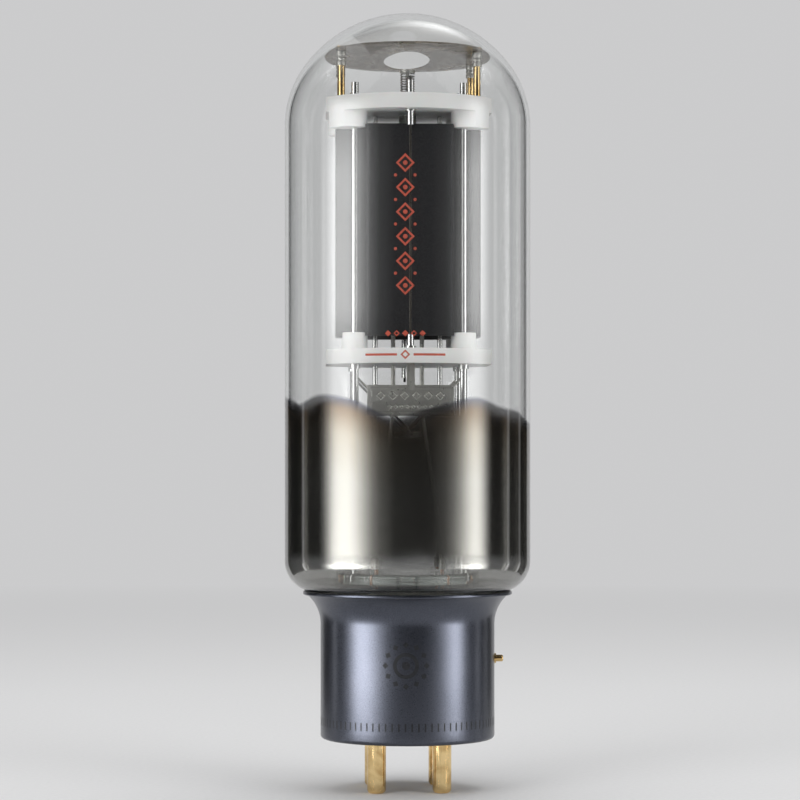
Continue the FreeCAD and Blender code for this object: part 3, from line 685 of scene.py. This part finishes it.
def make_tag():
    """The nickel plate, with a pressed border line, two weld dimples and two rows of stamped diamonds."""
    low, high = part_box("identification_plate")
    width, height = high.x - low.x, high.z - low.z
    columns, rows = 240, 90
    border, line, sunk = 0.95 * MM, 0.16 * MM, 0.07 * MM
    weld, edge_width, edge_drop = 0.3 * MM, 0.12 * MM, 0.05 * MM
    welds = [(side * 0.45 * MM, high.z - 0.8 * MM) for side in (-1, 1)]
    middle = (low.x + high.x) / 2
    stamps = []
    for count, pitch, below, size in ((6, 3.2, 2.85, 1.05), (8, 1.6, 5.85, 0.46)):
        for n in range(count):
            x = middle + (n - (count - 1) / 2) * pitch * MM
            stamps.append((x, high.z - below * MM, size * MM))
    bm = bmesh.new()

    def press(x, z):
        edge = min(x - low.x, high.x - x, z - low.z, high.z - z)
        dip = sunk * exp(-(((edge - border) / line) ** 2))
        for wx, wz in welds:
            dip += sunk * exp(-(((x - wx) ** 2 + (z - wz) ** 2) / weld**2))
        for sx, sz, size in stamps:
            dip += 2 * sunk * exp(-(((abs(x - sx) + abs(z - sz) - size) / line) ** 2))
        return dip + edge_drop * max(0.0, 1 - edge / edge_width) ** 2

    across = [low.x + width * i / columns for i in range(columns + 1)]
    up = [low.z + height * j / rows for j in range(rows + 1)]
    front = [[bm.verts.new((x, low.y + press(x, z), z)) for x in across] for z in up]
    for a, b in zip(front, front[1:]):
        for i in range(columns):
            bm.faces.new((a[i], a[i + 1], b[i + 1], b[i]))
    edge = front[0] + [r[-1] for r in front[1:-1]] + front[-1][::-1] + [r[0] for r in front[-2:0:-1]]
    back = [bm.verts.new((v.co.x, high.y, v.co.z)) for v in edge]
    for n in range(len(edge)):
        m = (n + 1) % len(edge)
        bm.faces.new((edge[n], edge[m], back[m], back[n]))
    bm.faces.new(back)
    return add_object("bare_tag", bm, FINISHES["nickel"], 40)


def make_bulb_print():
    """A plain red ornament: a chain of diamonds above two short borders."""
    place = (BULB_RADIUS, VIEW_TURN)
    bm = bmesh.new()
    count, low, high = 6, 134.2 * MM, 173.2 * MM
    pitch = (high - low) / count
    for n in range(count):
        z = low + pitch * (n + 0.5)
        draw_ring(bm, 0, z, 2.5 * MM, 1.75 * MM, *place, 4)
        draw_ring(bm, 0, z, 0.62 * MM, 0, *place, 16)
        if n:
            for side in (-1, 1):
                draw_ring(bm, side * 2.6 * MM, z - pitch / 2, 0.42 * MM, 0, *place, 14)
    small_row, border, stroke = 124.8 * MM, 119.2 * MM, 0.62 * MM
    for n in range(-2, 3):
        draw_ring(bm, n * 2.3 * MM, small_row, 0.85 * MM, 0.42 * MM if n % 2 else 0, *place, 4)
    for side in (-1, 1):
        draw_stroke(bm, (side * 2.2 * MM, border), (side * 10.8 * MM, border), stroke, *place)
    draw_ring(bm, 0, border, 1.3 * MM, 0.72 * MM, *place, 4)
    return add_object("red_ornament", bm, print_material("red_ink", (0.46, 0.080, 0.045)))


def make_shell_print():
    """A ring in a circle of diamonds at the front of the base, and a row of short dashes round its foot."""
    radius = SHELL_RADIUS - PRINT_GAP / 4
    middle, circle, diamonds = 36.0 * MM, 5.6 * MM, 12
    bm = bmesh.new()
    draw_ring(bm, 0, middle, 3.5 * MM, 2.5 * MM, radius, VIEW_TURN)
    draw_ring(bm, 0, middle, 1.1 * MM, 0, radius, VIEW_TURN, 24)
    for n in range(diamonds):
        a = 2 * pi * n / diamonds
        draw_ring(bm, circle * cos(a), middle + circle * sin(a), 0.85 * MM, 0, radius, VIEW_TURN, 4, a)
    dashes, dash_low, dash_high, dash_width = 84, 18.2 * MM, 20.4 * MM, 0.42 * MM
    for n in range(dashes):
        draw_stroke(bm, (0, dash_low), (0, dash_high), dash_width, radius, 2 * pi * n / dashes)
    return add_object("base_ornament", bm, print_material("dark_ink", (0.011, 0.012, 0.015)))


def make_softened(name, node, width, material, angle=30):
    """A node's own form with its sharp edges eased, as on fired or machined parts."""
    bm = bmesh.new()
    bm.from_mesh(nodes[node].data)
    bmesh.ops.remove_doubles(bm, verts=bm.verts, dist=0.002 * MM)
    bmesh.ops.dissolve_limit(bm, angle_limit=radians(0.5), verts=bm.verts, edges=bm.edges)
    sharp = [e for e in bm.edges if len(e.link_faces) == 2 and e.calc_face_angle() > radians(angle)]
    bmesh.ops.bevel(
        bm, geom=sharp, offset=width, segments=3, profile=0.5, affect="EDGES", clamp_overlap=True
    )
    return add_object(name, bm, material, 40)


# Dressing: the pieces that replace a node, those that are added, and the finishes of the nodes that stay

bulb = make_bulb()
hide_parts("glass_envelope")
shell = make_shell()
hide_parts("base_shell")
spring = make_spring()
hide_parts("tension_spring")
mica = make_mica()
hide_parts("top_mica_disc")
tag = make_tag()
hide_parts("identification_plate")
cup = make_cup()
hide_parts("spring_cup")
ferrules = [make_ferrule(n) for n in range(1, 5)]
for number, ferrule in enumerate(ferrules, 1):
    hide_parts(f"mica_ferrule_{number}")
plates = [
    make_softened(f"eased_{side}_plate", f"{side}_ceramic_plate", 0.35 * MM, FINISHES["alumina"])
    for side in ("lower", "upper")
]
for side, plate in zip(("lower", "upper"), plates):
    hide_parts(f"{side}_ceramic_plate")
film = make_film()
bulb_print = make_bulb_print()
shell_print = make_shell_print()
pins = [make_pin(n) for n in range(1, 5)]
for number, pin in enumerate(pins, 1):
    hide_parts(f"contact_pin_{number}")

SLOTS = [
    (bulb, "bulb_glass"), (shell, "shell_lacquer"), (spring, "tungsten"), (mica, "mica"), (tag, "nickel"),
    (cup, "nickel"), *[(pin, "gilt") for pin in pins], *[(ferrule, "nickel") for ferrule in ferrules],
    *[(plate, "alumina") for plate in plates],
]
for piece in [piece for piece, slot in SLOTS] + [film, bulb_print, shell_print]:
    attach(piece, "root")

# Tie wires take a darker copy of the tungsten finish: painted shade for wires that lie in the anode's shade.
painted_shade_wire = metal("painted_shade_wire", (0.060, 0.055, 0.048), 0.34, 2200)
for subpart in frame["record"]["subparts"]:
    mesh = nodes[subpart["node"]].data
    tie = subpart["node"].startswith("tie_wire")
    mesh.materials.clear()
    mesh.materials.append(painted_shade_wire if tie else FINISHES[subpart["material_slot"]])


# The studio: a pale floor that fades into the pale room, soft lamps, and what the shiny parts mirror


def pale_share(tree):
    """1 for what the camera sees, straight, mirrored or through glass, and 0 for light on things."""
    path = tree.nodes.new("ShaderNodeLightPath")
    share = path.outputs["Is Camera Ray"]
    for name in ("Is Glossy Ray", "Is Transmission Ray"):
        node = tree.nodes.new("ShaderNodeMath")
        node.operation = "MAXIMUM"
        tree.links.new(share, node.inputs[0])
        tree.links.new(path.outputs[name], node.inputs[1])
        share = node.outputs["Value"]
    return share


def make_room():
    world = bpy.data.worlds.new("room")
    bpy.context.scene.world = world
    world.use_nodes = True
    tree = world.node_tree
    light = tree.nodes["Background"]
    light.inputs["Color"].default_value = (1, 1, 1, 1)
    light.inputs["Strength"].default_value = ROOM_LIGHT
    pale = tree.nodes.new("ShaderNodeBackground")
    pale.inputs["Color"].default_value = PALE_COLOUR
    mix = tree.nodes.new("ShaderNodeMixShader")
    tree.links.new(pale_share(tree), mix.inputs[0])
    tree.links.new(light.outputs[0], mix.inputs[1])
    tree.links.new(pale.outputs[0], mix.inputs[2])
    tree.links.new(mix.outputs[0], tree.nodes["World Output"].inputs["Surface"])


def make_floor():
    finish = Finish("floor_paper", 0.9, Specular_IOR_Level=0.0)
    grain = finish.noise(700, 4)
    finish.set("Base Color", finish.ramp(grain, (0.3, (0.72, 0.72, 0.725)), (0.7, (0.75, 0.75, 0.755))))
    finish.bump(grain, 0.02 * MM, 0.3)
    tree = finish.tree
    length = tree.nodes.new("ShaderNodeVectorMath")
    length.operation = "LENGTH"
    finish.link(finish.place, length.inputs[0])
    far = finish.range(length.outputs["Value"], 0.0, 1.0, *FLOOR_FADE)
    glow = tree.nodes.new("ShaderNodeEmission")
    glow.inputs["Color"].default_value = PALE_COLOUR
    mix = tree.nodes.new("ShaderNodeMixShader")
    finish.link(finish.math("MULTIPLY", far, pale_share(tree)), mix.inputs[0])
    finish.link(finish.shader.outputs[0], mix.inputs[1])
    finish.link(glow.outputs[0], mix.inputs[2])
    finish.link(mix.outputs[0], tree.nodes["Material Output"].inputs["Surface"])
    bm = bmesh.new()
    bmesh.ops.create_circle(bm, cap_ends=True, segments=96, radius=FLOOR_RADIUS)
    floor = add_object("floor", bm, finish.material)


def glow_material(name, strength):
    """Light shared out over the mesh, that shows where metal and glass mirror it and not through glass."""
    material = bpy.data.materials.new(name)
    material.use_nodes = True
    tree = material.node_tree
    tree.nodes.remove(tree.nodes["Principled BSDF"])
    share = tree.nodes.new("ShaderNodeAttribute")
    share.attribute_name = "share"
    scale = tree.nodes.new("ShaderNodeMath")
    scale.operation = "MULTIPLY"
    scale.inputs[1].default_value = strength
    tree.links.new(share.outputs["Fac"], scale.inputs[0])
    glow = tree.nodes.new("ShaderNodeEmission")
    tree.links.new(scale.outputs["Value"], glow.inputs["Strength"])
    path = tree.nodes.new("ShaderNodeLightPath")
    mirrored = tree.nodes.new("ShaderNodeMath")
    mirrored.operation = "GREATER_THAN"
    mirrored.inputs[1].default_value = 0.5
    tree.links.new(path.outputs["Glossy Depth"], mirrored.inputs[0])
    clear = tree.nodes.new("ShaderNodeBsdfTransparent")
    mix = tree.nodes.new("ShaderNodeMixShader")
    tree.links.new(mirrored.outputs["Value"], mix.inputs[0])
    tree.links.new(clear.outputs[0], mix.inputs[1])
    tree.links.new(glow.outputs[0], mix.inputs[2])
    tree.links.new(mix.outputs[0], tree.nodes["Material Output"].inputs["Surface"])
    return material


def make_panel(name, places, shares, strength):
    """A sheet of light through rows of points, each with its share. The lamps do the lighting."""
    bm = bmesh.new()
    share = bm.verts.layers.float.new("share")
    grid = [[bm.verts.new(place) for place in row] for row in places]
    for row, levels in zip(grid, shares):
        for vert, level in zip(row, levels):
            vert[share] = level
    for a, b in zip(grid, grid[1:]):
        for n in range(len(a) - 1):
            bm.faces.new((a[n], a[n + 1], b[n + 1], b[n]))
    panel = add_object(name, bm, glow_material(name, strength))
    panel.visible_camera = False
    panel.visible_diffuse = False
    panel.visible_shadow = False


def make_screen():
    """The dark screen and its lights, bent round the tube."""
    turn = atan2(CAMERA_PLACE[0], -CAMERA_PLACE[1])
    mirrored = [radians(angle) for angle, level in SCREEN_ACROSS]
    around = [a - asin(BULB_RADIUS / SCREEN_DISTANCE * sin(a / 2)) + turn for a in mirrored]
    places, shares = [], []
    for height, up, dark in SCREEN_UP:
        places.append([(SCREEN_DISTANCE * sin(a), -SCREEN_DISTANCE * cos(a), height) for a in around])
        shares.append([level * up + dark / SOFTBOX_LIGHT for angle, level in SCREEN_ACROSS])
    make_panel("screen", places, shares, SOFTBOX_LIGHT)


def make_top_panel():
    """A soft panel over the rear of the tube, which the dome mirrors as a crescent."""
    height, step, strength = 1.0, 0.05, 2.2
    columns = [-0.35 + step * n for n in range(20)]
    rows = [0.72 - step * n for n in range(16)]
    slant, slant_start = 0.35, 0.15
    places = [[(x, y + slant * max(0.0, x - slant_start), height) for x in columns] for y in rows]
    middle_x, width, middle_y, length, dark_edge = 0.22, 0.24, 0.60, 0.28, 0.70
    shares = []
    for y in rows:
        level = exp(-(((y - middle_y) / length) ** 2)) * (y < dark_edge)
        shares.append([level * exp(-(((x - middle_x) / width) ** 2)) for x in columns])
    make_panel("top_panel", places, shares, strength)


def make_lamp(name, place, size, power):
    """A large soft lamp turned to the middle of the tube. It shows in no mirror and through no glass."""
    data = bpy.data.lights.new(name, "AREA")
    data.size = size
    data.energy = power
    lamp = bpy.data.objects.new(name, data)
    lamp.location = place
    lamp.rotation_euler = (Vector(place) - Vector(LAMP_AIM)).to_track_quat("Z", "Y").to_euler()
    bpy.context.scene.collection.objects.link(lamp)
    lamp.visible_camera = False
    lamp.visible_glossy = False
    lamp.visible_transmission = False


def make_camera():
    data = bpy.data.cameras.new("camera")
    data.sensor_width = 36
    data.lens = FOCAL_PIXELS / IMAGE_PIXELS * data.sensor_width
    data.shift_x = (IMAGE_PIXELS / 2 - AXIS_COLUMN) / IMAGE_PIXELS
    data.shift_y = (HORIZON_ROW - IMAGE_PIXELS / 2) / IMAGE_PIXELS
    data.clip_start = 0.01
    camera = bpy.data.objects.new("camera", data)
    camera.location = CAMERA_PLACE
    camera.rotation_euler = (radians(90), 0, atan2(CAMERA_PLACE[0], -CAMERA_PLACE[1]))
    bpy.context.scene.collection.objects.link(camera)
    bpy.context.scene.camera = camera


make_room()
make_floor()
make_screen()
make_top_panel()
for lamp in LAMPS:
    make_lamp(*lamp)
make_camera()
bpy.context.scene.view_settings.view_transform = "Standard"
